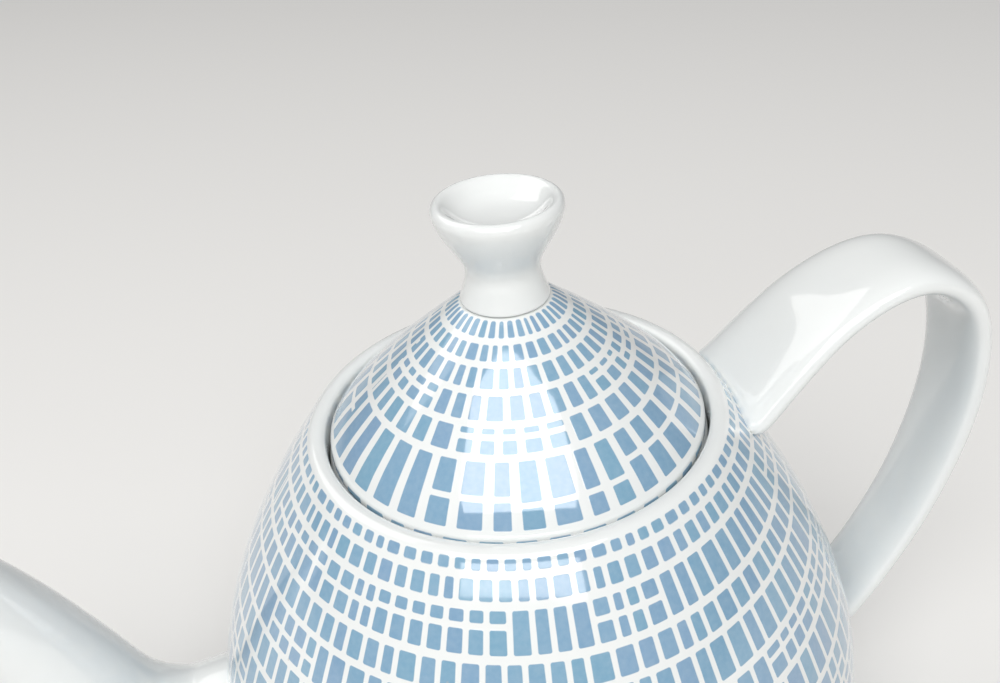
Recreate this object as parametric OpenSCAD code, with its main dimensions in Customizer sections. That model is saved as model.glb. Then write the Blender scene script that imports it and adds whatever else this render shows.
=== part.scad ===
// Round-bellied porcelain teapot with a cone-shaped lid that lifts off.
// The axis of the pot is Z, the table is z = 0, the handle points to +X and the spout to -X.

/* [Body] */
// Largest radius of the belly, mm
body_r = 74; // [64:1:86]
// Height of the lid seam above the table, mm
body_h = 112; // [98:1:132]
// Thickness of the cast wall, mm
wall = 4; // [3:0.25:5]
// Height of the widest part of the belly, mm
belly_z = 46; // [38:1:54]
// Radius of the shoulder where it reaches the seam, mm
rim_r = 43.7; // [43.2:0.1:46]

/* [Foot] */
// Outer radius of the standing ring, mm
foot_r = 42; // [34:1:43]
// Height of the standing ring, mm
foot_h = 3; // [2:0.25:5]
// Width of the standing ring, mm
foot_w = 5; // [3.5:0.5:8]

/* [Lid] */
// Outer radius of the lid, mm
lid_r = 38.9; // [36:0.1:39.2]
// Rise of the cone from the seam to the knob, mm
lid_rise = 27; // [22:1:34]
// Depth of the locating skirt below its ledge, mm
skirt_drop = 9; // [5:0.5:14]
// Radius of the steam hole, mm
vent_r = 1.6; // [1:0.1:2.5]

/* [Knob] */
// Radius of the knob rim, mm
knob_r = 12.6; // [10.5:0.1:15]
// Radius of the knob waist, mm
knob_waist = 7.3; // [5.5:0.1:8.5]
// Height of the knob, mm
knob_h = 20.6; // [16:0.2:26]

/* [Handle] */
// Farthest reach of the strap's centre line from the pot axis, mm
handle_reach = 101; // [90:1:118]
// Height of the top of the strap's centre line, mm
handle_top = 131; // [122:1:146]
// Height of the upper root, mm
handle_root = 106; // [98:0.5:107]
// Height of the lower root, mm
handle_heel = 27; // [22:1:40]
// Half the width of the strap at the upper root, mm
strap_root = 16; // [11:0.5:17]
// Half the width of the strap at the lower root, mm
strap_heel = 9.5; // [7:0.5:12]
// Thickness of the strap, mm
strap_t = 6.4; // [5:0.2:8]

/* [Spout] */
// Reach of the spout tip's centre from the pot axis, mm
spout_reach = 131; // [122:1:146]
// Height of the spout tip's centre, mm
spout_tip = 108; // [98:1:120]
// Height of the centre of the spout root, mm
spout_root = 33; // [30:0.5:38]
// Outer radius at the tip, mm
spout_tip_r = 8.4; // [7:0.2:10]
// Outer radius at the root, mm
spout_root_r = 19; // [16:0.5:20]
// Thickness of the spout wall, mm
spout_wall = 3; // [2.4:0.1:3.6]
// Radius of each strainer hole, mm
strain_r = 1.6; // [1.2:0.1:2]

/* [Fit] */
// Gap round the lid in the neck, mm
lid_gap = 0.7; // [0.4:0.1:1.2]
// Gap between the skirt and the ledge, mm
skirt_gap = 0.8; // [0.4:0.1:1.5]
// Depth of the lid ledge below the seam, mm
ledge_drop = 3; // [2:0.25:4]

/* [Hidden] */
$fn = 96;

base_r = foot_r + 2;
floor_z = foot_h + wall;
neck_r = lid_r + lid_gap;
ledge_z = body_h - ledge_drop;
ledge_t = 3;
neck_z = ledge_z - ledge_t - 2;
ledge_r = lid_r - 4.4;
skirt_r = ledge_r - skirt_gap;
skirt_in = skirt_r - 3;
knob_base = 9.2;
knob_z = body_h + lid_rise;
vent_at = 17;
dome_drop = 4.8;
shoulder_power = 1.68;
base_power = 2.4;
dome_power = 1.15;
root_bite = wall / 2;
strap_sides = 24;
spout_sides = 28;

glaze = [0.91, 0.925, 0.93];
print_blue = [0.52, 0.69, 0.80];
bare_clay = [0.86, 0.84, 0.80];

// Outside of the body: a full belly, an almost conical shoulder, and a rounded base.
function shoulder_t(z) = (z - belly_z) / (body_h - belly_z);
function base_t(z) = (belly_z - z) / (belly_z - foot_h);
function outer_r(z) = z > belly_z
    ? body_r - (body_r - rim_r) * pow(min(1.2, shoulder_t(z)), shoulder_power)
    : body_r - (body_r - base_r) * pow(min(1, base_t(z)), base_power);
function slope(z) = (outer_r(z + 0.2) - outer_r(z - 0.2)) / 0.4;
function inner_r(z) = outer_r(z) - wall * sqrt(1 + slope(z) * slope(z));

// Outside and underside of the lid cone.
function dome_z(r) = body_h + lid_rise * pow((lid_r - r) / (lid_r - knob_base), 1 / dome_power);
function under_z(r) = dome_z(r) - dome_drop;

// A smooth line through a list of points, one value at a time.
function blend4(a, b, c, d, t) = 0.5 * (2 * b + (c - a) * t
    + (2 * a - 5 * b + 4 * c - d) * t * t
    + (3 * b - a - 3 * c + d) * t * t * t);
function along(list, u) =
    let (last = len(list) - 1)
    let (i = min(floor(u), last - 1))
    let (a = list[max(i - 1, 0)])
    let (d = list[min(i + 2, last)])
    blend4(a, list[i], list[i + 1], d, u - i);
function unit(v) = v / norm(v);
function heading(list, u) =
    let (last = len(list) - 1)
    unit(along(list, min(u + 0.05, last)) - along(list, max(u - 0.05, 0)));

// Pulls one point of a root ring on to the middle of the body wall.
function on_wall(p) =
    let (r = outer_r(p[2]) - root_bite)
    [sqrt(max(1, r * r - p[1] * p[1])), p[1], p[2]];

module pot_body() {
    rim_top = body_h + 1.1;
    rise = [for (i = [0 : 34]) foot_h + (body_h - 0.5 - foot_h) * i / 34];
    fall = [for (i = [0 : 28]) neck_z - 2.5 - (neck_z - 2.5 - floor_z - 1) * i / 28];
    outside = [for (z = rise) [outer_r(z), z]];
    inside = [for (z = fall) [inner_r(z), z]];
    lip = [[neck_r + 3.6, rim_top - 0.5],
           [neck_r + 2.6, rim_top],
           [neck_r + 1.4, rim_top],
           [neck_r + 0.4, rim_top - 0.6],
           [neck_r, rim_top - 1.5],
           [neck_r, neck_z]];
    pan = [[inner_r(floor_z + 1) - 1.6, floor_z],
           [0, floor_z],
           [0, foot_h]];
    color(print_blue)
    difference() {
        rotate_extrude() polygon(concat(outside, lip, inside, pan));
        strainer_holes();
    }
}

// Thirteen round holes pierced straight through the wall behind the spout.
module strainer_holes() {
    ring_near = 5.2;
    ring_far = 9.8;
    one_hole(0, 0);
    for (a = [0 : 60 : 300]) one_hole(ring_near * cos(a), ring_near * sin(a));
    for (a = [30 : 60 : 330]) one_hole(ring_far * cos(a), ring_far * sin(a));
}

module one_hole(side, up) {
    translate([-body_r - 5, side, spout_root + up])
    rotate([0, 90, 0])
    cylinder(r = strain_r, h = 30, $fn = 24);
}

module foot_ring() {
    inner = foot_r - foot_w;
    color(bare_clay)
    rotate_extrude()
    polygon([[inner, foot_h],
             [inner, 0.7],
             [inner + 0.7, 0],
             [foot_r - 0.8, 0],
             [foot_r, 0.8],
             [foot_r, foot_h]]);
}

// The ledge inside the neck that the lid stands on.
module lid_gallery() {
    color(glaze)
    rotate_extrude()
    polygon([[ledge_r, ledge_z - 0.6],
             [ledge_r + 0.6, ledge_z],
             [neck_r, ledge_z],
             [neck_r, neck_z],
             [ledge_r, ledge_z - ledge_t]]);
}

// Solid strap swept along its centre line, with both end rings lying in the body wall.
module handle() {
    root_x = outer_r(handle_root);
    heel_x = outer_r(handle_heel);
    rise = handle_top - handle_root;
    out = handle_reach - root_x;
    drop = handle_top - handle_heel;
    line = [[root_x - 2, handle_root - 1.5],
            [root_x + 0.33 * out, handle_root + 0.74 * rise],
            [root_x + 0.67 * out, handle_top],
            [root_x + 0.93 * out, handle_top - 0.095 * drop],
            [handle_reach, handle_top - 0.33 * drop],
            [heel_x + 0.80 * (handle_reach - heel_x), handle_top - 0.625 * drop],
            [heel_x + 0.35 * (handle_reach - heel_x), handle_heel + 0.098 * drop],
            [heel_x - 2, handle_heel]];
    half = [strap_root,
            strap_root * 0.84,
            strap_root * 0.74,
            strap_root * 0.68,
            strap_heel * 1.05,
            strap_heel * 0.97,
            strap_heel * 0.97,
            strap_heel * 1.10];
    rings = 42;
    skin = [for (i = [0 : rings])
        let (u = i / rings * (len(line) - 1))
        let (c = along(line, u))
        let (d = heading(line, u))
        let (w = along(half, u))
        [for (k = [0 : strap_sides - 1])
            let (a = -360 * k / strap_sides)
            let (s = w * sign(cos(a)) * pow(abs(cos(a)), 0.62))
            let (t = strap_t / 2 * sign(sin(a)) * pow(abs(sin(a)), 0.78))
            let (p = [c[0] - d[1] * t, s, c[1] + d[0] * t])
            i == 0 || i == rings ? on_wall(p) : p]];
    first = on_wall([0, 0, line[0][1]]);
    last = on_wall([0, 0, line[len(line) - 1][1]]);
    points = concat([for (r = skin) each r], [first, last]);
    n = strap_sides;
    sides = [for (i = [0 : rings - 1]) for (k = [0 : n - 1])
        let (a = i * n + k)
        let (b = i * n + (k + 1) % n)
        each [[a, b, b + n], [a, b + n, a + n]]];
    ends = [for (k = [0 : n - 1])
        each [[(k + 1) % n, k, (rings + 1) * n],
              [rings * n + k, rings * n + (k + 1) % n, (rings + 1) * n + 1]]];
    color(glaze) polyhedron(points, concat(sides, ends), convexity = 6);
}

// Hollow tube that bends up from the belly, thin at the tip, open at both ends.
module spout() {
    root_x = outer_r(spout_root);
    out = spout_reach - root_x;
    rise = spout_tip - spout_root;
    line = [[root_x - 3, spout_root],
            [root_x + 0.25 * out, spout_root + 0.025 * rise],
            [root_x + 0.46 * out, spout_root + 0.16 * rise],
            [root_x + 0.58 * out, spout_root + 0.39 * rise],
            [root_x + 0.69 * out, spout_root + 0.60 * rise],
            [root_x + 0.81 * out, spout_root + 0.78 * rise],
            [spout_reach, spout_tip]];
    swell = spout_root_r - spout_tip_r;
    radii = [spout_root_r,
             spout_tip_r + 0.70 * swell,
             spout_tip_r + 0.52 * swell,
             spout_tip_r + 0.38 * swell,
             spout_tip_r + 0.26 * swell,
             spout_tip_r + 0.14 * swell,
             spout_tip_r];
    rings = 30;
    n = spout_sides;
    outside = [for (i = [0 : rings]) spout_ring(line, radii, i / rings, 0, n)];
    inside = [for (i = [0 : rings]) spout_ring(line, radii, i / rings, spout_wall, n)];
    points = concat([for (r = outside) each r], [for (r = inside) each r]);
    m = (rings + 1) * n;
    skin = [for (i = [0 : rings - 1]) for (k = [0 : n - 1])
        let (a = i * n + k)
        let (b = i * n + (k + 1) % n)
        each [[a, b, b + n], [a, b + n, a + n]]];
    bore = [for (i = [0 : rings - 1]) for (k = [0 : n - 1])
        let (a = m + i * n + k)
        let (b = m + i * n + (k + 1) % n)
        each [[b, a, a + n], [b, a + n, b + n]]];
    root = [for (k = [0 : n - 1])
        let (j = (k + 1) % n)
        each [[j, k, m + k], [j, m + k, m + j]]];
    tip = [for (k = [0 : n - 1])
        let (a = rings * n + k)
        let (b = rings * n + (k + 1) % n)
        each [[a, b, m + b], [a, m + b, m + a]]];
    color(glaze)
    mirror([1, 0, 0])
    polyhedron(points, concat(skin, bore, root, tip), convexity = 8);
}

// One ring of the spout; the ring at the root lies in the body wall.
function spout_ring(line, radii, share, skin, n) =
    let (u = share * (len(line) - 1))
    let (c = along(line, u))
    let (d = heading(line, u))
    let (r = along(radii, u) - skin)
    [for (k = [0 : n - 1])
        let (a = -360 * k / n)
        let (p = [c[0] - d[1] * r * sin(a), r * 0.92 * cos(a), c[1] + d[0] * r * sin(a)])
        share == 0 ? on_wall(p) : p];

// Thin cone of the lid, hollow below, with the flat land that carries the knob.
module lid_dome() {
    land = dome_z(knob_base);
    out = [for (i = [0 : 16]) let (r = lid_r - (lid_r - knob_base) * i / 16) [r, dome_z(r)]];
    under = [for (r = [knob_base, 13, 17, 21, 25, 28, skirt_in, skirt_r]) [r, under_z(r)]];
    edge = [[skirt_r + 2.2, ledge_z],
            [lid_r - 0.6, ledge_z],
            [lid_r, ledge_z + 0.6]];
    color(print_blue)
    difference() {
        rotate_extrude() polygon(concat([[0, land - dome_drop]], under, edge, out, [[0, land]]));
        translate([0, vent_at, body_h]) cylinder(r = vent_r, h = 2 * lid_rise, $fn = 24);
    }
}

// Round skirt below the lid that keeps it centred in the ledge.
module lid_skirt() {
    low = ledge_z - skirt_drop;
    color(glaze)
    rotate_extrude()
    polygon([[skirt_in, low + 0.5],
             [skirt_in + 0.5, low],
             [skirt_r - 0.5, low],
             [skirt_r, low + 0.5],
             [skirt_r, under_z(skirt_r)],
             [skirt_in, under_z(skirt_in)]]);
}

// Waisted knob, full below its thick rolled rim, with a shallow dish in its top.
module lid_knob() {
    dish = 3.8;
    top = knob_z + knob_h;
    flare = knob_r - knob_waist;
    foot = [[0, knob_z],
            [knob_base, knob_z],
            [knob_base - 0.4, knob_z + 0.05 * knob_h],
            [knob_waist + 0.8, knob_z + 0.13 * knob_h],
            [knob_waist + 0.15, knob_z + 0.24 * knob_h],
            [knob_waist, knob_z + 0.33 * knob_h]];
    // Height and widening of the bowl, each as a share of the whole.
    bowl = [for (s = [[0.42, 0.08], [0.51, 0.26], [0.60, 0.47], [0.70, 0.70], [0.80, 0.88], [0.89, 0.98]])
        [knob_waist + s[1] * flare, knob_z + s[0] * knob_h]];
    rim = [[knob_r, top - 1.4],
           [knob_r - 0.3, top - 0.6],
           [knob_r - 0.9, top - 0.1],
           [knob_r - 1.5, top],
           [knob_r - 2.2, top - 0.3],
           [knob_r - 3, top - 1.1]];
    pan = [[knob_r * 0.65, top - 0.62 * dish],
           [knob_r * 0.5, top - 0.86 * dish],
           [knob_r * 0.3, top - 0.97 * dish],
           [0, top - dish]];
    color(glaze) rotate_extrude() polygon(concat(foot, bowl, rim, pan));
}

pot_body();
foot_ring();
lid_gallery();
spout();
handle();
lid_dome();
lid_skirt();
lid_knob();
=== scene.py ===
import math
import bpy
from mathutils import Matrix, Vector


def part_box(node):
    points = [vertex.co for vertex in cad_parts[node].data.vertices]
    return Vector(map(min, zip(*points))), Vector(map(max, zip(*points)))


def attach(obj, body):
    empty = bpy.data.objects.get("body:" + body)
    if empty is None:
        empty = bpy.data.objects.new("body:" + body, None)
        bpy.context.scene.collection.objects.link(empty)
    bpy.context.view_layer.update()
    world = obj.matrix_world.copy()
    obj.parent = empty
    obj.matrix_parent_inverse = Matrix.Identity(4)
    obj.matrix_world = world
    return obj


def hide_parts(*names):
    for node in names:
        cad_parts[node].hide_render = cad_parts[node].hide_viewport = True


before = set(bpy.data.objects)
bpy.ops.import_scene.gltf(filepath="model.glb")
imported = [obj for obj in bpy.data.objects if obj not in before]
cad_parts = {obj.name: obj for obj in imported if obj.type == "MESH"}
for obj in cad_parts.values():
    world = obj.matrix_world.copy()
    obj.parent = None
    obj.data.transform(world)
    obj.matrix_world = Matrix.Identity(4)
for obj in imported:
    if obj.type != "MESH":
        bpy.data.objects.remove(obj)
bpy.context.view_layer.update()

# ---------------------------------------------------------------------------
# POT BODY
# A porcelain pot cast in one piece: full belly, nearly conical shoulder, rolled white rim.
# It is printed under a clear glossy glaze with rings of small pale blue blocks.
# Thirteen round holes are pierced through the wall where the spout is luted on.

MM = 0.001
body_low, body_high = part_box("pot_body")
belly_r = body_high.x
rim_top = body_high.z
body_wall = 4.0 * MM
belly_z = 46.0 * MM
seam_z = rim_top - 1.1 * MM
seam_r = 43.7 * MM
neck_r = 39.6 * MM
neck_z = seam_z - 8.0 * MM
base_r = 44.0 * MM
base_z = body_low.z
floor_z = base_z + body_wall


def belly_radius(z):
    """Outside radius of the pot at a height."""
    if z > belly_z:
        share = (z - belly_z) / (seam_z - belly_z)
        return belly_r - (belly_r - seam_r) * share ** 1.68
    share = min(1.0, (belly_z - z) / (belly_z - base_z))
    return belly_r - (belly_r - base_r) * share ** 2.4


def inside_radius(z):
    """Inside radius of the pot, one wall thickness in from the outside."""
    step = 0.2 * MM
    lean = (belly_radius(z + step) - belly_radius(z - step)) / (2 * step)
    return belly_radius(z) - body_wall * math.sqrt(1 + lean * lean)


def deselect():
    bpy.ops.object.select_all(action="DESELECT")


def pick(piece):
    """Selects one piece and nothing else."""
    deselect()
    piece.select_set(True)
    bpy.context.view_layer.objects.active = piece


def smooth_off(piece, rounds):
    """Rounds off the active piece with subdivision, applied to its mesh."""
    smooth = piece.modifiers.new("smooth", "SUBSURF")
    smooth.levels = rounds
    smooth.render_levels = rounds
    bpy.ops.object.modifier_apply(modifier=smooth.name)
    bpy.ops.object.shade_smooth()


def pierce(piece, punch):
    """Cuts a piece with a punch, which is then thrown away."""
    pick(piece)
    cut = piece.modifiers.new("pierce", "BOOLEAN")
    cut.object = punch
    cut.solver = "EXACT"
    bpy.ops.object.modifier_apply(modifier=cut.name)
    bpy.data.objects.remove(punch)


def dress(piece, material):
    """Gives a piece its one material."""
    piece.data.materials.clear()
    piece.data.materials.append(material)


def thrown(name, outline, sides, closed=False, rounds=2):
    """A round piece drawn up ring by ring along its outline, then smoothed."""
    deselect()
    radius, height = outline[0]
    fill = "NOTHING" if closed else "TRIFAN"
    bpy.ops.mesh.primitive_circle_add(
        vertices=sides, radius=radius, location=(0, 0, height), fill_type=fill)
    piece = bpy.context.object
    piece.name = name
    bpy.ops.object.transform_apply(location=True)
    ring = [v.index for v in piece.data.vertices if v.co.xy.length > radius / 2]
    bpy.ops.object.mode_set(mode="EDIT")
    bpy.ops.mesh.select_all(action="DESELECT")
    bpy.ops.object.mode_set(mode="OBJECT")
    for index in ring:
        piece.data.vertices[index].select = True
    bpy.ops.object.mode_set(mode="EDIT")
    for (r0, z0), (r1, z1) in zip(outline, outline[1:]):
        bpy.ops.mesh.extrude_edges_move(TRANSFORM_OT_translate={"value": (0, 0, z1 - z0)})
        bpy.ops.transform.resize(value=(r1 / r0, r1 / r0, 1), center_override=(0, 0, z1))
    if closed:
        bpy.ops.mesh.select_all(action="DESELECT")
        bpy.ops.mesh.select_non_manifold()
        bpy.ops.mesh.bridge_edge_loops()
    else:
        bpy.ops.mesh.extrude_edges_move()
        bpy.ops.mesh.merge(type="CENTER")
    bpy.ops.mesh.select_all(action="SELECT")
    bpy.ops.mesh.remove_doubles(threshold=1e-6)
    bpy.ops.mesh.normals_make_consistent(inside=False)
    bpy.ops.object.mode_set(mode="OBJECT")
    smooth_off(piece, rounds)
    return piece


printed_skin = 1.2 * MM
row_above = 3 * MM
row_below = 8 * MM


def mark_rows(piece, heights):
    """Stores on each point its printed row, and that row's depth along the slope in mm.
    The depth is 0 where nothing is printed: inside, and above the first row."""
    depths = []
    for high, low in zip(heights, heights[1:]):
        run = row_radius(piece, low) - row_radius(piece, high)
        depths.append(math.hypot(run, high - low) / MM)
    row = piece.data.attributes.new("row", "FLOAT", "POINT")
    depth = piece.data.attributes.new("row_depth", "FLOAT", "POINT")
    for index, vertex in enumerate(piece.data.vertices):
        z = vertex.co.z
        place = -1.0
        size = depths[0]
        for k, (high, low) in enumerate(zip(heights, heights[1:])):
            if low <= z <= high:
                place = k + (high - z) / (high - low)
                size = depths[k]
        if z < heights[-1]:
            place = len(depths) + (heights[-1] - z) / row_below
        if z > heights[0]:
            place = -(z - heights[0]) / row_above
            size = 0.0
        if vertex.co.xy.length < row_radius(piece, z) - printed_skin:
            size = 0.0
        row.data[index].value = place
        depth.data[index].value = size


def row_radius(piece, z):
    """Outside radius of the printed piece at a height, for the pot or for its lid."""
    return belly_radius(z) if piece.name == "body" else cone_radius(z)


outside = [(belly_radius(z), z) for z in
           [base_z + (seam_z - 0.6 * MM - base_z) * k / 22 for k in range(23)]]
rim = [(neck_r + 3.75 * MM, rim_top - 0.55 * MM),
       (neck_r + 2.7 * MM, rim_top),
       (neck_r + 1.3 * MM, rim_top),
       (neck_r + 0.3 * MM, rim_top - 0.5 * MM),
       (neck_r, rim_top - 1.5 * MM),
       (neck_r, neck_z + 0.5 * MM),
       (neck_r + 0.2 * MM, neck_z)]
inside = [(inside_radius(z), z) for z in
          [neck_z - 3 * MM - (neck_z - floor_z - 4.5 * MM) * k / 16 for k in range(17)]]
pan = [(inside_radius(floor_z + 1.5 * MM) - 3 * MM, floor_z + 0.2 * MM),
       (20 * MM, floor_z),
       (2 * MM, floor_z)]
underside = [(1 * MM, base_z), (30 * MM, base_z), (base_r - 1.2 * MM, base_z)]
body = thrown("body", underside + outside + rim + inside + pan, sides=96)

spout_root_z = 33.0 * MM
strain_r = 1.6 * MM
inner_holes_r = 5.2 * MM
outer_holes_r = 9.8 * MM
punch_length = 26 * MM
punch_x = -belly_r + 2 * MM
strainer = [(0, 0)]
strainer += [(inner_holes_r, a) for a in range(0, 360, 60)]
strainer += [(outer_holes_r, a) for a in range(30, 390, 60)]
punches = []
for reach, turn in strainer:
    side = reach * math.cos(math.radians(turn))
    up = reach * math.sin(math.radians(turn))
    bpy.ops.mesh.primitive_cylinder_add(
        vertices=24, radius=strain_r, depth=punch_length,
        location=(punch_x, side, spout_root_z + up),
        rotation=(0, math.pi / 2, 0))
    punches.append(bpy.context.object)
deselect()
for punch in punches:
    punch.select_set(True)
bpy.context.view_layer.objects.active = punches[0]
bpy.ops.object.join()
pierce(body, bpy.context.object)
mark_rows(body, [seam_z - h * MM for h in
                 (-0.9, 1.9, 6.1, 13.6, 18.9, 26.6, 33.2, 41.8, 50.2, 57.5, 66.4,
                  74.0, 81.5, 87.0, 94.5, 101.0, 105.5)])


def math_step(tree, operation, first, second=0.0):
    """Adds one Math node and gives back its value."""
    node = tree.nodes.new("ShaderNodeMath")
    node.operation = operation
    for socket, value in zip(node.inputs, (first, second)):
        if isinstance(value, (int, float)):
            socket.default_value = value
        else:
            tree.links.new(value, socket)
    return node.outputs[0]


def cells(tree, place, feature, scatter):
    """A line of blocks of uneven width."""
    node = tree.nodes.new("ShaderNodeTexVoronoi")
    node.voronoi_dimensions = "1D"
    node.feature = feature
    node.inputs["Scale"].default_value = 1.0
    if isinstance(scatter, float):
        node.inputs["Randomness"].default_value = scatter
    else:
        tree.links.new(scatter, node.inputs["Randomness"])
    tree.links.new(place, node.inputs["W"])
    return node


ring_shift = 213.37
bunch_shift = 37.1
bunch_size = 4.6
split_lowest = 0.33
split_spread = 0.34
half_split_gap = 0.55
shallow_row = 4.8
deep_row = 8.5
far_off = 50.0
edge_wander = 0.35
edge_softness = 0.10


def printed_block_group():
    """Rings of rounded blocks: gives the printed mask and each block's own random tones."""
    tree = bpy.data.node_groups.new("printed blocks", "ShaderNodeTree")
    for name, start in (("Blocks Per Ring", 86.0), ("Gap", 1.15), ("Gap Share", 0.0),
                        ("Ring Gap", 1.9), ("Corner", 0.5), ("Unevenness", 0.7),
                        ("Split Share", 0.4), ("Seed", 0.0)):
        socket = tree.interface.new_socket(name, in_out="INPUT", socket_type="NodeSocketFloat")
        socket.default_value = start
    tree.interface.new_socket("Mask", in_out="OUTPUT", socket_type="NodeSocketFloat")
    tree.interface.new_socket("Tone", in_out="OUTPUT", socket_type="NodeSocketFloat")
    tree.interface.new_socket("Hue", in_out="OUTPUT", socket_type="NodeSocketFloat")
    given = tree.nodes.new("NodeGroupInput").outputs
    result = tree.nodes.new("NodeGroupOutput").inputs
    spot = tree.nodes.new("ShaderNodeTexCoord").outputs["Object"]
    wobble = tree.nodes.new("ShaderNodeTexNoise")
    wobble.inputs["Scale"].default_value = 150.0
    tree.links.new(spot, wobble.inputs["Vector"])
    drift = math_step(tree, "MULTIPLY", math_step(tree, "SUBTRACT", wobble.outputs["Fac"], 0.5), 0.5)
    parts = tree.nodes.new("ShaderNodeSeparateXYZ")
    tree.links.new(spot, parts.inputs[0])
    x, y = parts.outputs[0], parts.outputs[1]
    radius = math_step(tree, "SQRT", math_step(
        tree, "ADD", math_step(tree, "MULTIPLY", x, x), math_step(tree, "MULTIPLY", y, y)))
    turn = math_step(tree, "DIVIDE", math_step(tree, "ARCTAN2", y, x), 2 * math.pi)
    row = tree.nodes.new("ShaderNodeAttribute")
    row.attribute_name = "row"
    depth = tree.nodes.new("ShaderNodeAttribute")
    depth.attribute_name = "row_depth"
    row_number = math_step(tree, "FLOOR", row.outputs["Fac"])
    down = math_step(tree, "FRACT", row.outputs["Fac"])
    shift = math_step(tree, "ADD", math_step(tree, "MULTIPLY", row_number, ring_shift), given["Seed"])
    place = math_step(tree, "ADD", math_step(
        tree, "MULTIPLY", math_step(tree, "ADD", turn, 0.5), given["Blocks Per Ring"]), shift)
    block = cells(tree, place, "F1", given["Unevenness"])
    border = cells(tree, place, "DISTANCE_TO_EDGE", given["Unevenness"])
    pitch = math_step(tree, "DIVIDE", math_step(
        tree, "MULTIPLY", radius, 2 * math.pi / MM), given["Blocks Per Ring"])
    gap = math_step(tree, "ADD", given["Gap"],
                    math_step(tree, "MULTIPLY", pitch, given["Gap Share"]))
    across = math_step(tree, "SUBTRACT", math_step(
        tree, "MULTIPLY", border.outputs["Distance"], pitch),
        math_step(tree, "MULTIPLY", gap, 0.5))
    across = math_step(tree, "ADD", across, math_step(tree, "MULTIPLY", drift, edge_wander))
    from_ring = math_step(tree, "MULTIPLY", math_step(
        tree, "MINIMUM", down, math_step(tree, "SUBTRACT", 1.0, down)), depth.outputs["Fac"])
    from_ring = math_step(tree, "SUBTRACT", from_ring,
                          math_step(tree, "MULTIPLY", given["Ring Gap"], 0.5))
    bunch = cells(tree, math_step(tree, "DIVIDE", math_step(
        tree, "ADD", block.outputs["W"],
        math_step(tree, "MULTIPLY", row_number, bunch_shift)), bunch_size), "F1", 0.9)
    dice = tree.nodes.new("ShaderNodeSeparateColor")
    tree.links.new(bunch.outputs["Color"], dice.inputs[0])
    level = math_step(tree, "ADD", math_step(
        tree, "MULTIPLY", dice.outputs[1], split_spread), split_lowest)
    from_split = math_step(tree, "MULTIPLY", math_step(
        tree, "ABSOLUTE", math_step(tree, "SUBTRACT", down, level)), depth.outputs["Fac"])
    from_split = math_step(tree, "SUBTRACT", from_split, half_split_gap)
    deep = tree.nodes.new("ShaderNodeMapRange")
    deep.inputs["From Min"].default_value = shallow_row
    deep.inputs["From Max"].default_value = deep_row
    tree.links.new(depth.outputs["Fac"], deep.inputs["Value"])
    chance = math_step(tree, "MULTIPLY", deep.outputs["Result"], given["Split Share"])
    whole = math_step(tree, "MULTIPLY", math_step(
        tree, "GREATER_THAN", dice.outputs[0], chance), far_off)
    upright = math_step(tree, "MINIMUM", from_ring, math_step(tree, "ADD", from_split, whole))
    upright = math_step(tree, "ADD", upright, math_step(tree, "MULTIPLY", drift, edge_wander))
    short_x = math_step(tree, "MAXIMUM", math_step(tree, "SUBTRACT", given["Corner"], across), 0.0)
    short_y = math_step(tree, "MAXIMUM", math_step(tree, "SUBTRACT", given["Corner"], upright), 0.0)
    rounded = math_step(tree, "SUBTRACT", given["Corner"], math_step(tree, "SQRT", math_step(
        tree, "ADD", math_step(tree, "MULTIPLY", short_x, short_x),
        math_step(tree, "MULTIPLY", short_y, short_y))))
    soft = tree.nodes.new("ShaderNodeMapRange")
    soft.interpolation_type = "SMOOTHSTEP"
    soft.inputs["From Min"].default_value = -edge_softness
    soft.inputs["From Max"].default_value = edge_softness
    tree.links.new(rounded, soft.inputs["Value"])
    tones = tree.nodes.new("ShaderNodeSeparateColor")
    tree.links.new(block.outputs["Color"], tones.inputs[0])
    tree.links.new(soft.outputs["Result"], result["Mask"])
    tree.links.new(tones.outputs[0], result["Tone"])
    tree.links.new(tones.outputs[1], result["Hue"])
    return tree


speck_radius = 0.055
speck_rarity = 0.93
speck_dip = 0.6
least_roughness = 0.04
smear_roughness = 0.08


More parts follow.
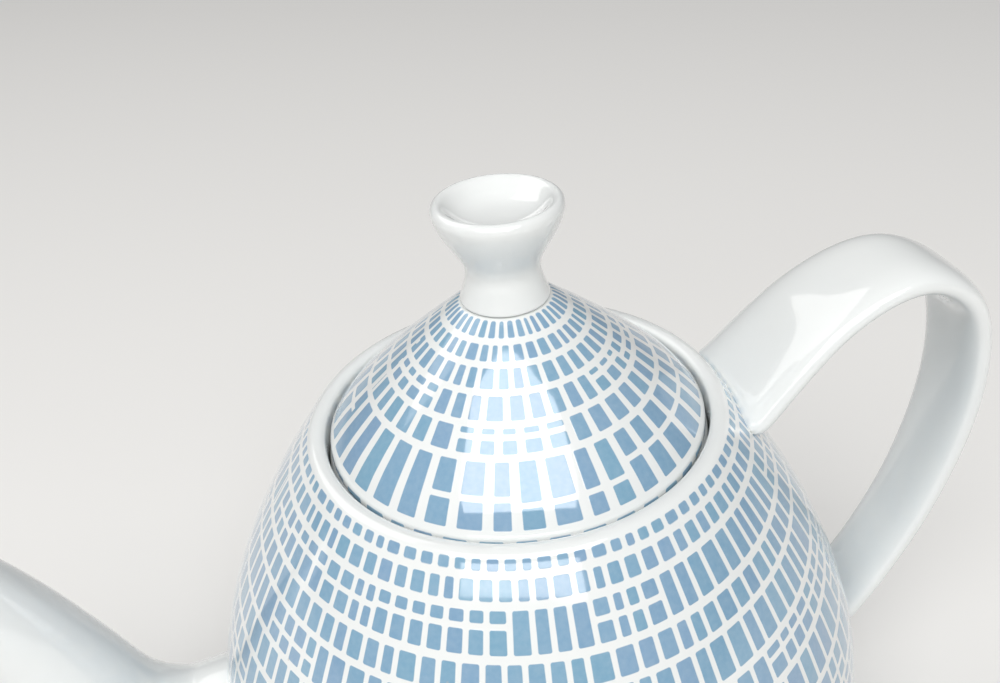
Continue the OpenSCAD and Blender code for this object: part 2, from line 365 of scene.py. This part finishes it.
def glaze_skin_group():
    """The slight unevenness of fired glaze: tone, gloss and a very shallow ripple."""
    tree = bpy.data.node_groups.new("glaze skin", "ShaderNodeTree")
    for name, kind in (("Tone", "NodeSocketFloat"), ("Roughness", "NodeSocketFloat"),
                       ("Height", "NodeSocketFloat"), ("Specks", "NodeSocketFloat")):
        tree.interface.new_socket(name, in_out="OUTPUT", socket_type=kind)
    result = tree.nodes.new("NodeGroupOutput").inputs
    spot = tree.nodes.new("ShaderNodeTexCoord").outputs["Object"]
    layers = {}
    for name, scale, detail in (("cloud", 28.0, 3.0), ("ripple", 95.0, 2.0), ("smear", 60.0, 4.0)):
        noise = tree.nodes.new("ShaderNodeTexNoise")
        noise.inputs["Scale"].default_value = scale
        noise.inputs["Detail"].default_value = detail
        tree.links.new(spot, noise.inputs["Vector"])
        layers[name] = noise.outputs["Fac"]
    pits = tree.nodes.new("ShaderNodeTexVoronoi")
    pits.inputs["Scale"].default_value = 210.0
    tree.links.new(spot, pits.inputs["Vector"])
    rare = tree.nodes.new("ShaderNodeSeparateColor")
    tree.links.new(pits.outputs["Color"], rare.inputs[0])
    close = math_step(tree, "LESS_THAN", pits.outputs["Distance"], speck_radius)
    speck = math_step(tree, "MULTIPLY", close, math_step(
        tree, "GREATER_THAN", rare.outputs[0], speck_rarity))
    tree.links.new(layers["cloud"], result["Tone"])
    rough = math_step(tree, "ADD", math_step(
        tree, "MULTIPLY", layers["smear"], smear_roughness), least_roughness)
    tree.links.new(rough, result["Roughness"])
    height = math_step(tree, "SUBTRACT", math_step(tree, "ADD", layers["ripple"], layers["cloud"]),
                       math_step(tree, "MULTIPLY", speck, speck_dip))
    tree.links.new(height, result["Height"])
    tree.links.new(speck, result["Specks"])
    return tree


printed_blocks = printed_block_group()
glaze_skin = glaze_skin_group()


def placed(tree, group):
    """Puts a shared node group into a material."""
    node = tree.nodes.new("ShaderNodeGroup")
    node.node_tree = group
    return node


def tinted(tree, share, first, second):
    """Mixes two colours, each a fixed colour or another node's."""
    node = tree.nodes.new("ShaderNodeMix")
    node.data_type = "RGBA"
    tree.links.new(share, node.inputs["Factor"])
    for socket, colour in zip((node.inputs[6], node.inputs[7]), (first, second)):
        if isinstance(colour, tuple):
            socket.default_value = (*colour, 1.0)
        else:
            tree.links.new(colour, socket)
    return node.outputs[2]


def glossy_glaze(name):
    """Porcelain under a clear, hard, glossy glaze, with its slight unevenness wired in."""
    material = bpy.data.materials.new(name)
    material.use_nodes = True
    tree = material.node_tree
    shader = tree.nodes["Principled BSDF"]
    shader.inputs["IOR"].default_value = 1.55
    shader.inputs["Coat Weight"].default_value = 0.8
    shader.inputs["Coat Roughness"].default_value = 0.03
    skin = placed(tree, glaze_skin)
    tree.links.new(skin.outputs["Roughness"], shader.inputs["Roughness"])
    bump = tree.nodes.new("ShaderNodeBump")
    bump.inputs["Strength"].default_value = 0.10
    bump.inputs["Distance"].default_value = 0.0006
    tree.links.new(skin.outputs["Height"], bump.inputs["Height"])
    tree.links.new(bump.outputs["Normal"], shader.inputs["Normal"])
    return material, tree, shader, skin, bump


glaze_white = (0.860, 0.868, 0.845)
glaze_cool = (0.800, 0.825, 0.820)
speck_grey = (0.46, 0.45, 0.42)
print_blue = (0.175, 0.325, 0.500)
print_teal = (0.160, 0.355, 0.500)
print_pale = (0.255, 0.410, 0.570)
most_pale = 0.38
most_thin = 0.16
print_relief = 0.25
speck_strength = 0.5


def printed_glaze(name, blocks_per_ring, gap, gap_share, ring_gap, corner, unevenness,
                  split_share, seed):
    """White glaze with the blue blocks printed under it."""
    material, tree, shader, skin, bump = glossy_glaze(name)
    blocks = placed(tree, printed_blocks)
    for socket, value in (("Blocks Per Ring", blocks_per_ring), ("Gap", gap),
                          ("Gap Share", gap_share), ("Ring Gap", ring_gap), ("Corner", corner),
                          ("Unevenness", unevenness), ("Split Share", split_share),
                          ("Seed", seed)):
        blocks.inputs[socket].default_value = value
    spot = tree.nodes.new("ShaderNodeTexCoord").outputs["Object"]
    grain = tree.nodes.new("ShaderNodeTexNoise")
    grain.inputs["Scale"].default_value = 900.0
    grain.inputs["Detail"].default_value = 3.0
    tree.links.new(spot, grain.inputs["Vector"])
    white = tinted(tree, skin.outputs["Tone"], glaze_white, glaze_cool)
    blue = tinted(tree, blocks.outputs["Hue"], print_blue, print_teal)
    paler = math_step(tree, "MULTIPLY", blocks.outputs["Tone"], most_pale)
    blue = tinted(tree, paler, blue, print_pale)
    thin = math_step(tree, "MULTIPLY", grain.outputs["Fac"], most_thin)
    blue = tinted(tree, thin, blue, white)
    shown = tinted(tree, blocks.outputs["Mask"], white, blue)
    specks = math_step(tree, "MULTIPLY", skin.outputs["Specks"], speck_strength)
    shown = tinted(tree, specks, shown, speck_grey)
    tree.links.new(shown, shader.inputs["Base Color"])
    raised = math_step(tree, "ADD", skin.outputs["Height"],
                       math_step(tree, "MULTIPLY", blocks.outputs["Mask"], print_relief))
    tree.links.new(raised, bump.inputs["Height"])
    return material


dress(body, printed_glaze(
    "printed body glaze", blocks_per_ring=90.0, gap=0.95, gap_share=0.03, ring_gap=1.5,
    corner=0.4, unevenness=0.62, split_share=0.42, seed=0.0))
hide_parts("pot_body")
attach(body, "pot")

# ---------------------------------------------------------------------------
# LEDGE
# The ring inside the neck that carries the lid, turned from the same white porcelain,
# luted in before the first firing and glazed with the rest of the pot.

ledge_low, ledge_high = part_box("lid_gallery")
ledge_z = ledge_high.z
ledge_r = 34.5 * MM


def plain_glaze(name):
    """White glaze with nothing printed under it."""
    material, tree, shader, skin, bump = glossy_glaze(name)
    white = tinted(tree, skin.outputs["Tone"], glaze_white, glaze_cool)
    specks = math_step(tree, "MULTIPLY", skin.outputs["Specks"], speck_strength)
    shown = tinted(tree, specks, white, speck_grey)
    tree.links.new(shown, shader.inputs["Base Color"])
    return material


white_glaze = plain_glaze("white glaze")
ledge = thrown("ledge", [
    (ledge_high.x - 0.02 * MM, ledge_low.z + 0.1 * MM),
    (ledge_high.x - 0.02 * MM, ledge_z - 0.3 * MM),
    (ledge_high.x - 0.6 * MM, ledge_z - 0.05 * MM),
    (ledge_r + 1.0 * MM, ledge_z - 0.05 * MM),
    (ledge_r + 0.2 * MM, ledge_z - 0.3 * MM),
    (ledge_r + 0.02 * MM, ledge_z - 0.9 * MM),
    (ledge_r + 0.05 * MM, ledge_low.z + 2.4 * MM),
    (ledge_r + 0.9 * MM, ledge_low.z + 1.6 * MM)], sides=96, closed=True, rounds=1)
dress(ledge, white_glaze)
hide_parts("lid_gallery")
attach(ledge, "pot")

# ---------------------------------------------------------------------------
# STANDING RING
# The foot under the pot, turned with it and wiped clean of glaze before firing,
# so that it shows bare, slightly rough porcelain where it stands on the table.

foot_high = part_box("foot_ring")[1]
foot_r = foot_high.x
foot_w = 5.0 * MM
foot_in = foot_r - foot_w
foot_top = foot_high.z
standing_ring = thrown("standing_ring", [
    (foot_in + 0.02 * MM, foot_top - 0.02 * MM),
    (foot_in + 0.05 * MM, 1.2 * MM),
    (foot_in + 0.5 * MM, 0.25 * MM),
    (foot_in + 1.3 * MM, 0.0),
    (foot_r - 1.4 * MM, 0.0),
    (foot_r - 0.5 * MM, 0.25 * MM),
    (foot_r - 0.05 * MM, 1.2 * MM),
    (foot_r - 0.02 * MM, foot_top - 0.02 * MM)], sides=96, closed=True, rounds=1)

bare_clay = bpy.data.materials.new("bare clay")
bare_clay.use_nodes = True
clay_tree = bare_clay.node_tree
clay_shader = clay_tree.nodes["Principled BSDF"]
clay_shader.inputs["Roughness"].default_value = 0.75
clay_spot = clay_tree.nodes.new("ShaderNodeTexCoord").outputs["Object"]
clay_noise = clay_tree.nodes.new("ShaderNodeTexNoise")
clay_noise.inputs["Scale"].default_value = 420.0
clay_noise.inputs["Detail"].default_value = 5.0
clay_tree.links.new(clay_spot, clay_noise.inputs["Vector"])
clay_tone = tinted(clay_tree, clay_noise.outputs["Fac"], (0.74, 0.72, 0.67), (0.60, 0.57, 0.51))
clay_tree.links.new(clay_tone, clay_shader.inputs["Base Color"])
clay_bump = clay_tree.nodes.new("ShaderNodeBump")
clay_bump.inputs["Strength"].default_value = 0.4
clay_bump.inputs["Distance"].default_value = 0.0003
clay_tree.links.new(clay_noise.outputs["Fac"], clay_bump.inputs["Height"])
clay_tree.links.new(clay_bump.outputs["Normal"], clay_shader.inputs["Normal"])
dress(standing_ring, bare_clay)
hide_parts("foot_ring")
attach(standing_ring, "pot")

# ---------------------------------------------------------------------------
# HANDLE
# A broad flat strap cast solid in white porcelain and bent into a high loop.
# It spreads at the upper root, narrows to the heel, and is luted to the wall at both ends.

handle_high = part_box("handle")[1]
strap_t = 6.4 * MM
handle_reach = handle_high.x - strap_t / 2
handle_top = handle_high.z - strap_t / 2
handle_root_z = 106.0 * MM
handle_heel_z = 27.0 * MM
strap_root = handle_high.y
strap_heel = 9.5 * MM
root_depth = body_wall * 0.5
root_overlap = 2 * MM


def smooth_line(points, count):
    """Evenly stepped places along a smooth line through some points of any dimension."""
    places = []
    last = len(points) - 1
    for step in range(count + 1):
        u = step / count * last
        i = min(int(u), last - 1)
        t = u - i
        a = points[max(i - 1, 0)]
        b = points[i]
        c = points[i + 1]
        d = points[min(i + 2, last)]
        places.append([0.5 * (2 * q + (r - p) * t + (2 * p - 5 * q + 4 * r - s) * t * t
                              + (3 * q - p - 3 * r + s) * t ** 3)
                       for p, q, r, s in zip(a, b, c, d)])
    return places


def lean_of(places, k):
    """Angle of the line at one place, from +X towards +Z."""
    before = places[max(k - 1, 0)]
    after = places[min(k + 1, len(places) - 1)]
    return math.atan2(after[1] - before[1], after[0] - before[0])


def swept(places, start_width, start_thick):
    """Pulls the selected ring along a line of (x, z, width, thickness) places."""
    width, thick = start_width, start_thick
    for k in range(1, len(places)):
        x, z, new_width, new_thick = places[k]
        dx = x - places[k - 1][0]
        dz = z - places[k - 1][1]
        bpy.ops.mesh.extrude_edges_move(TRANSFORM_OT_translate={"value": (dx, 0, dz)})
        swing = lean_of(places, k) - lean_of(places, k - 1)
        swing = (swing + math.pi) % (2 * math.pi) - math.pi
        bpy.ops.transform.rotate(value=swing, orient_axis="Y", center_override=(x, 0, z))
        bpy.ops.transform.resize(
            value=(new_thick / thick, new_width / width, new_thick / thick),
            center_override=(x, 0, z))
        width, thick = new_width, new_thick


def seat_on_wall(piece, ring, toward, depth):
    """Trims one ring of points back into the pot's wall, as a luted root is."""
    for index in ring:
        point = piece.data.vertices[index].co
        wall_r = belly_radius(point.z) - depth
        point.x = toward * math.sqrt(max(1e-6, wall_r ** 2 - point.y ** 2))


root_x = belly_radius(handle_root_z)
heel_x = belly_radius(handle_heel_z)
rise = handle_top - handle_root_z
reach = handle_reach - root_x
drop = handle_top - handle_heel_z
strap_line = [
    (root_x - root_overlap, handle_root_z - 1.5 * MM, strap_root, strap_t * 1.25),
    (root_x + 0.33 * reach, handle_root_z + 0.74 * rise, strap_root * 0.84, strap_t),
    (root_x + 0.67 * reach, handle_top, strap_root * 0.74, strap_t),
    (root_x + 0.93 * reach, handle_top - 0.095 * drop, strap_root * 0.68, strap_t),
    (handle_reach, handle_top - 0.33 * drop, strap_heel * 1.05, strap_t),
    (heel_x + 0.80 * (handle_reach - heel_x), handle_top - 0.625 * drop, strap_heel * 0.97, strap_t),
    (heel_x + 0.35 * (handle_reach - heel_x), handle_heel_z + 0.098 * drop, strap_heel * 0.97, strap_t),
    (heel_x - root_overlap, handle_heel_z, strap_heel * 1.10, strap_t * 1.2)]
strap_places = smooth_line(strap_line, 40)
start = strap_places[0]
deselect()
bpy.ops.mesh.primitive_circle_add(vertices=28, radius=1.0, location=(0, 0, 0))
handle = bpy.context.object
handle.name = "handle"
strap_ring = len(handle.data.vertices)
strap_lean = lean_of(strap_places, 0)
for vertex in handle.data.vertices:
    flat_x, flat_y = vertex.co.x, vertex.co.y
    side = math.copysign(abs(flat_x) ** 0.66, flat_x) * start[2]
    thick = math.copysign(abs(flat_y) ** 0.80, flat_y) * start[3] / 2
    vertex.co = (start[0] - math.sin(strap_lean) * thick, side,
                 start[1] + math.cos(strap_lean) * thick)
bpy.ops.object.mode_set(mode="EDIT")
bpy.ops.mesh.select_all(action="SELECT")
swept(strap_places, start[2], start[3])
bpy.ops.mesh.select_all(action="DESELECT")
bpy.ops.mesh.select_non_manifold()
bpy.ops.object.mode_set(mode="OBJECT")
points = handle.data.vertices
seat_on_wall(handle, range(strap_ring), 1, root_depth)
seat_on_wall(handle, range(len(points) - strap_ring, len(points)), 1, root_depth)
bpy.ops.object.mode_set(mode="EDIT")
bpy.ops.mesh.edge_face_add()
bpy.ops.mesh.select_all(action="SELECT")
bpy.ops.mesh.normals_make_consistent(inside=False)
bpy.ops.object.mode_set(mode="OBJECT")
smooth_off(handle, 2)
dress(handle, white_glaze)
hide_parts("handle")
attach(handle, "pot")

# ---------------------------------------------------------------------------
# SPOUT
# A hollow tube of white porcelain that leaves the belly low down and bends up and out.
# It is cast on its own and luted over the pierced strainer; the lip is trimmed square.

tip_r = 8.4 * MM
root_r = 19.0 * MM
spout_wall = 3.0 * MM
spout_flat = 0.92
lip_steps = (0.35 * MM, 1.5 * MM, 2.65 * MM, spout_wall)
spout_reach = 131.0 * MM
spout_tip_z = 108.0 * MM
spout_x = belly_radius(spout_root_z)
spout_out = spout_reach - spout_x
spout_rise = spout_tip_z - spout_root_z
swell = root_r - tip_r
spout_line = []
for out_share, rise_share, swell_share in (
        (-0.052, 0.0, 1.0), (0.25, 0.025, 0.70), (0.46, 0.16, 0.52), (0.58, 0.39, 0.38),
        (0.69, 0.60, 0.26), (0.81, 0.78, 0.14), (1.0, 1.0, 0.0)):
    spout_line.append((-(spout_x + out_share * spout_out), spout_root_z + rise_share * spout_rise,
                       (tip_r + swell_share * swell) * spout_flat, tip_r + swell_share * swell))
outer_places = smooth_line(spout_line, 32)
bore_places = []
for x, z, width, thick in reversed(outer_places):
    bore_places.append([x, z, width - spout_wall, thick - spout_wall])
deselect()
bpy.ops.mesh.primitive_circle_add(vertices=40, radius=1.0, location=(0, 0, 0))
spout = bpy.context.object
spout.name = "spout"
spout_ring = len(spout.data.vertices)
spout_lean = lean_of(outer_places, 0)
start = outer_places[0]
for vertex in spout.data.vertices:
    across, upward = vertex.co.x * start[2], vertex.co.y * start[3]
    vertex.co = (start[0] - math.sin(spout_lean) * upward, across,
                 start[1] + math.cos(spout_lean) * upward)
bpy.ops.object.mode_set(mode="EDIT")
bpy.ops.mesh.select_all(action="SELECT")
swept(outer_places, start[2], start[3])
tip = outer_places[-1]
before = 0.0
for shrink in lip_steps:
    bpy.ops.mesh.extrude_edges_move()
    ratio_t = (tip[3] - shrink) / (tip[3] - before)
    ratio_w = (tip[2] - shrink) / (tip[2] - before)
    bpy.ops.transform.resize(value=(ratio_t, ratio_w, ratio_t), center_override=(tip[0], 0, tip[1]))
    before = shrink
swept(bore_places, bore_places[0][2], bore_places[0][3])
bpy.ops.mesh.select_all(action="DESELECT")
bpy.ops.mesh.select_non_manifold()
bpy.ops.mesh.bridge_edge_loops()
bpy.ops.object.mode_set(mode="OBJECT")
points = spout.data.vertices
seat_on_wall(spout, range(spout_ring), -1, root_depth)
seat_on_wall(spout, range(len(points) - spout_ring, len(points)), -1, root_depth)
bpy.ops.object.mode_set(mode="EDIT")
bpy.ops.mesh.select_all(action="SELECT")
bpy.ops.mesh.normals_make_consistent(inside=False)
bpy.ops.object.mode_set(mode="OBJECT")
smooth_off(spout, 1)
dress(spout, white_glaze)
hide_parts("spout")
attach(spout, "pot")

# ---------------------------------------------------------------------------
# LID
# A thin slightly swelling cone of porcelain, cast and printed like the pot, with a plain
# white edge that stands on the ledge; a small steam hole is pierced through it at the back.

lid_r = 38.9 * MM
lid_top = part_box("lid_dome")[1].z
land_r = 9.2 * MM
lid_drop = 4.8 * MM
skirt_r = 33.7 * MM
skirt_in = 30.7 * MM
steam_r = 1.6 * MM
steam_y = 17 * MM
cone_start = lid_r - 1.3 * MM


def cone_height(radius):
    """Height of the outside of the lid at a radius."""
    share = max(0.0, (lid_r - radius) / (lid_r - land_r))
    return seam_z + (lid_top - seam_z) * share ** (1 / 1.15)


def cone_radius(z):
    """Radius of the outside of the lid at a height."""
    share = max(0.0, (z - seam_z) / (lid_top - seam_z))
    return lid_r - (lid_r - land_r) * share ** 1.15


under = [(r * MM, cone_height(r * MM) - lid_drop) for r in (9, 12, 16, 20, 24, 28, 30.5, 33.4)]
lid_edge = [(skirt_r + 2.2 * MM, ledge_z + 0.25 * MM),
            (skirt_r + 2.9 * MM, ledge_z + 0.05 * MM),
            (lid_r - 0.9 * MM, ledge_z + 0.05 * MM),
            (lid_r - 0.25 * MM, ledge_z + 0.35 * MM),
            (lid_r, ledge_z + 1.1 * MM),
            (lid_r, ledge_z + 2.0 * MM),
            (lid_r - 0.15 * MM, seam_z + 0.1 * MM),
            (lid_r - 0.7 * MM, seam_z + 0.75 * MM)]
cone = []
for k in range(1, 17):
    radius = cone_start - (cone_start - land_r) * k / 16
    cone.append((radius, cone_height(radius)))
land = [(land_r - 1.2 * MM, lid_top), (3 * MM, lid_top), (0.8 * MM, lid_top)]
lid = thrown("lid", [(1 * MM, lid_top - lid_drop), (5 * MM, lid_top - lid_drop)]
             + under + lid_edge + cone + land, sides=96)
bpy.ops.mesh.primitive_cylinder_add(
    vertices=24, radius=steam_r, depth=40 * MM, location=(0, steam_y, lid_top))
pierce(lid, bpy.context.object)
mark_rows(lid, [cone_height(r * MM) for r in (8.9, 12.5, 16.0, 20.0, 24.5, 29.0, 38.4)])
dress(lid, printed_glaze(
    "printed lid glaze", blocks_per_ring=39.0, gap=0.1, gap_share=0.32, ring_gap=1.3,
    corner=0.35, unevenness=0.45, split_share=0.6, seed=67.3))
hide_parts("lid_dome")
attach(lid, "lid")

# ---------------------------------------------------------------------------
# LID SKIRT
# A short plain collar of white porcelain luted under the lid. It drops through the ledge
# and keeps the lid from sliding off while the pot is tipped.

skirt_low, skirt_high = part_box("lid_skirt")
skirt = thrown("skirt", [
    (skirt_in + 0.05 * MM, skirt_high.z - 0.3 * MM),
    (skirt_in + 0.03 * MM, skirt_low.z + 1.2 * MM),
    (skirt_in + 0.4 * MM, skirt_low.z + 0.2 * MM),
    (skirt_in + 1.1 * MM, skirt_low.z),
    (skirt_r - 1.1 * MM, skirt_low.z),
    (skirt_r - 0.4 * MM, skirt_low.z + 0.2 * MM),
    (skirt_r - 0.03 * MM, skirt_low.z + 1.2 * MM),
    (skirt_r - 0.05 * MM, skirt_high.z - 3.2 * MM)], sides=96, closed=True, rounds=1)
dress(skirt, white_glaze)
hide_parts("lid_skirt")
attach(skirt, "lid")

# ---------------------------------------------------------------------------
# KNOB
# A waisted white knob with a shallow dish in its top, turned on its own and luted
# to the flat on top of the lid; its foot runs smoothly into the printed cone.

knob_low, knob_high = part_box("lid_knob")
knob_r = knob_high.x
knob_top = knob_high.z
knob_foot = knob_low.z
knob_seat = knob_foot + 0.02 * MM
knob_h = knob_top - knob_foot
waist = 7.3 * MM
dish = 3.8 * MM
flare = knob_r - waist
knob = thrown("knob", [
    (0.8 * MM, knob_seat),
    (5.0 * MM, knob_seat),
    (land_r - 0.15 * MM, knob_seat),
    (land_r - 0.45 * MM, knob_foot + 0.05 * knob_h),
    (waist + 0.8 * MM, knob_foot + 0.13 * knob_h),
    (waist + 0.15 * MM, knob_foot + 0.24 * knob_h),
    (waist, knob_foot + 0.33 * knob_h),
    (waist + 0.08 * flare, knob_foot + 0.42 * knob_h),
    (waist + 0.26 * flare, knob_foot + 0.51 * knob_h),
    (waist + 0.47 * flare, knob_foot + 0.60 * knob_h),
    (waist + 0.70 * flare, knob_foot + 0.70 * knob_h),
    (waist + 0.88 * flare, knob_foot + 0.80 * knob_h),
    (waist + 0.98 * flare, knob_foot + 0.89 * knob_h),
    (knob_r, knob_top - 1.4 * MM),
    (knob_r - 0.3 * MM, knob_top - 0.6 * MM),
    (knob_r - 0.9 * MM, knob_top - 0.1 * MM),
    (knob_r - 1.5 * MM, knob_top),
    (knob_r - 2.2 * MM, knob_top - 0.3 * MM),
    (knob_r - 3.0 * MM, knob_top - 1.1 * MM),
    (knob_r * 0.65, knob_top - 0.62 * dish),
    (knob_r * 0.50, knob_top - 0.86 * dish),
    (knob_r * 0.30, knob_top - 0.97 * dish),
    (knob_r * 0.06, knob_top - dish)], sides=64)
dress(knob, white_glaze)
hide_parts("lid_knob")
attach(knob, "lid")

# ---------------------------------------------------------------------------
# STUDIO
# A plain pale floor and an even pale room. A wide soft window lamp stands high in front of
# the pot with a low bright strip under it, and a weaker soft lamp fills in from behind.

floor_lift = 0.14
room_light = 0.27
room_backdrop = 0.68
bpy.ops.mesh.primitive_plane_add(size=8.0, location=(0, 0, 0))
floor = bpy.context.object
floor.name = "floor"
floor_paint = bpy.data.materials.new("floor paint")
floor_paint.use_nodes = True
floor_shader = floor_paint.node_tree.nodes["Principled BSDF"]
floor_shader.inputs["Base Color"].default_value = (0.74, 0.73, 0.71, 1.0)
floor_shader.inputs["Roughness"].default_value = 0.6
floor_shader.inputs["Emission Color"].default_value = (1.0, 0.985, 0.96, 1.0)
seen = floor_paint.node_tree.nodes.new("ShaderNodeLightPath")
lift = math_step(floor_paint.node_tree, "MULTIPLY", math_step(
    floor_paint.node_tree, "MAXIMUM", seen.outputs["Is Camera Ray"],
    seen.outputs["Is Glossy Ray"]), floor_lift)
floor_paint.node_tree.links.new(lift, floor_shader.inputs["Emission Strength"])
floor.data.materials.append(floor_paint)

scene = bpy.context.scene
scene.view_settings.view_transform = "Standard"
world = bpy.data.worlds.new("room")
world.use_nodes = True
room = world.node_tree.nodes["Background"]
room.inputs["Color"].default_value = (0.97, 0.98, 1.0, 1.0)
room_seen = world.node_tree.nodes.new("ShaderNodeLightPath")
room_strength = math_step(world.node_tree, "ADD", room_light, math_step(
    world.node_tree, "MULTIPLY", room_seen.outputs["Is Camera Ray"], room_backdrop))
world.node_tree.links.new(room_strength, room.inputs["Strength"])
scene.world = world

aim = Vector((0, 0, 0.11))
neutral = (1.0, 1.0, 1.0)
slightly_warm = (1.0, 0.985, 0.96)


def soft_lamp(name, turn, height, distance, width, tall, watts, colour):
    """A rectangular soft lamp that looks at the pot from a direction in degrees."""
    light = bpy.data.lights.new(name, "AREA")
    light.shape = "RECTANGLE"
    light.size = width
    light.size_y = tall
    light.energy = watts
    light.color = colour
    lamp = bpy.data.objects.new(name, light)
    a = math.radians(turn)
    b = math.radians(height)
    away = Vector((math.cos(a) * math.cos(b), math.sin(a) * math.cos(b), math.sin(b)))
    lamp.location = aim + away * distance
    lamp.rotation_euler = away.to_track_quat("Z", "Y").to_euler()
    scene.collection.objects.link(lamp)


soft_lamp("window", -102, 54, 1.5, 1.60, 0.80, 20.5, neutral)
soft_lamp("back fill", 138, 48, 2.0, 1.6, 1.2, 8.0, slightly_warm)
soft_lamp("low window", -103, 26, 1.5, 1.35, 0.12, 2.4, neutral)

camera_data = bpy.data.cameras.new("camera")
camera_data.sensor_width = 36.0
camera_data.lens = 34.2
camera_data.clip_start = 0.01
camera = bpy.data.objects.new("camera", camera_data)
camera.location = (-0.0239, -0.1581, 0.2304)
camera.rotation_mode = "QUATERNION"
look_turn = 0.1382
look_down = 0.5667
look_roll = -0.0984
pose = (Matrix.Rotation(-look_turn, 3, "Z")
        @ Matrix.Rotation(math.pi / 2 - look_down, 3, "X")
        @ Matrix.Rotation(look_roll, 3, "Z"))
camera.rotation_quaternion = pose.to_quaternion()
scene.collection.objects.link(camera)
scene.camera = camera
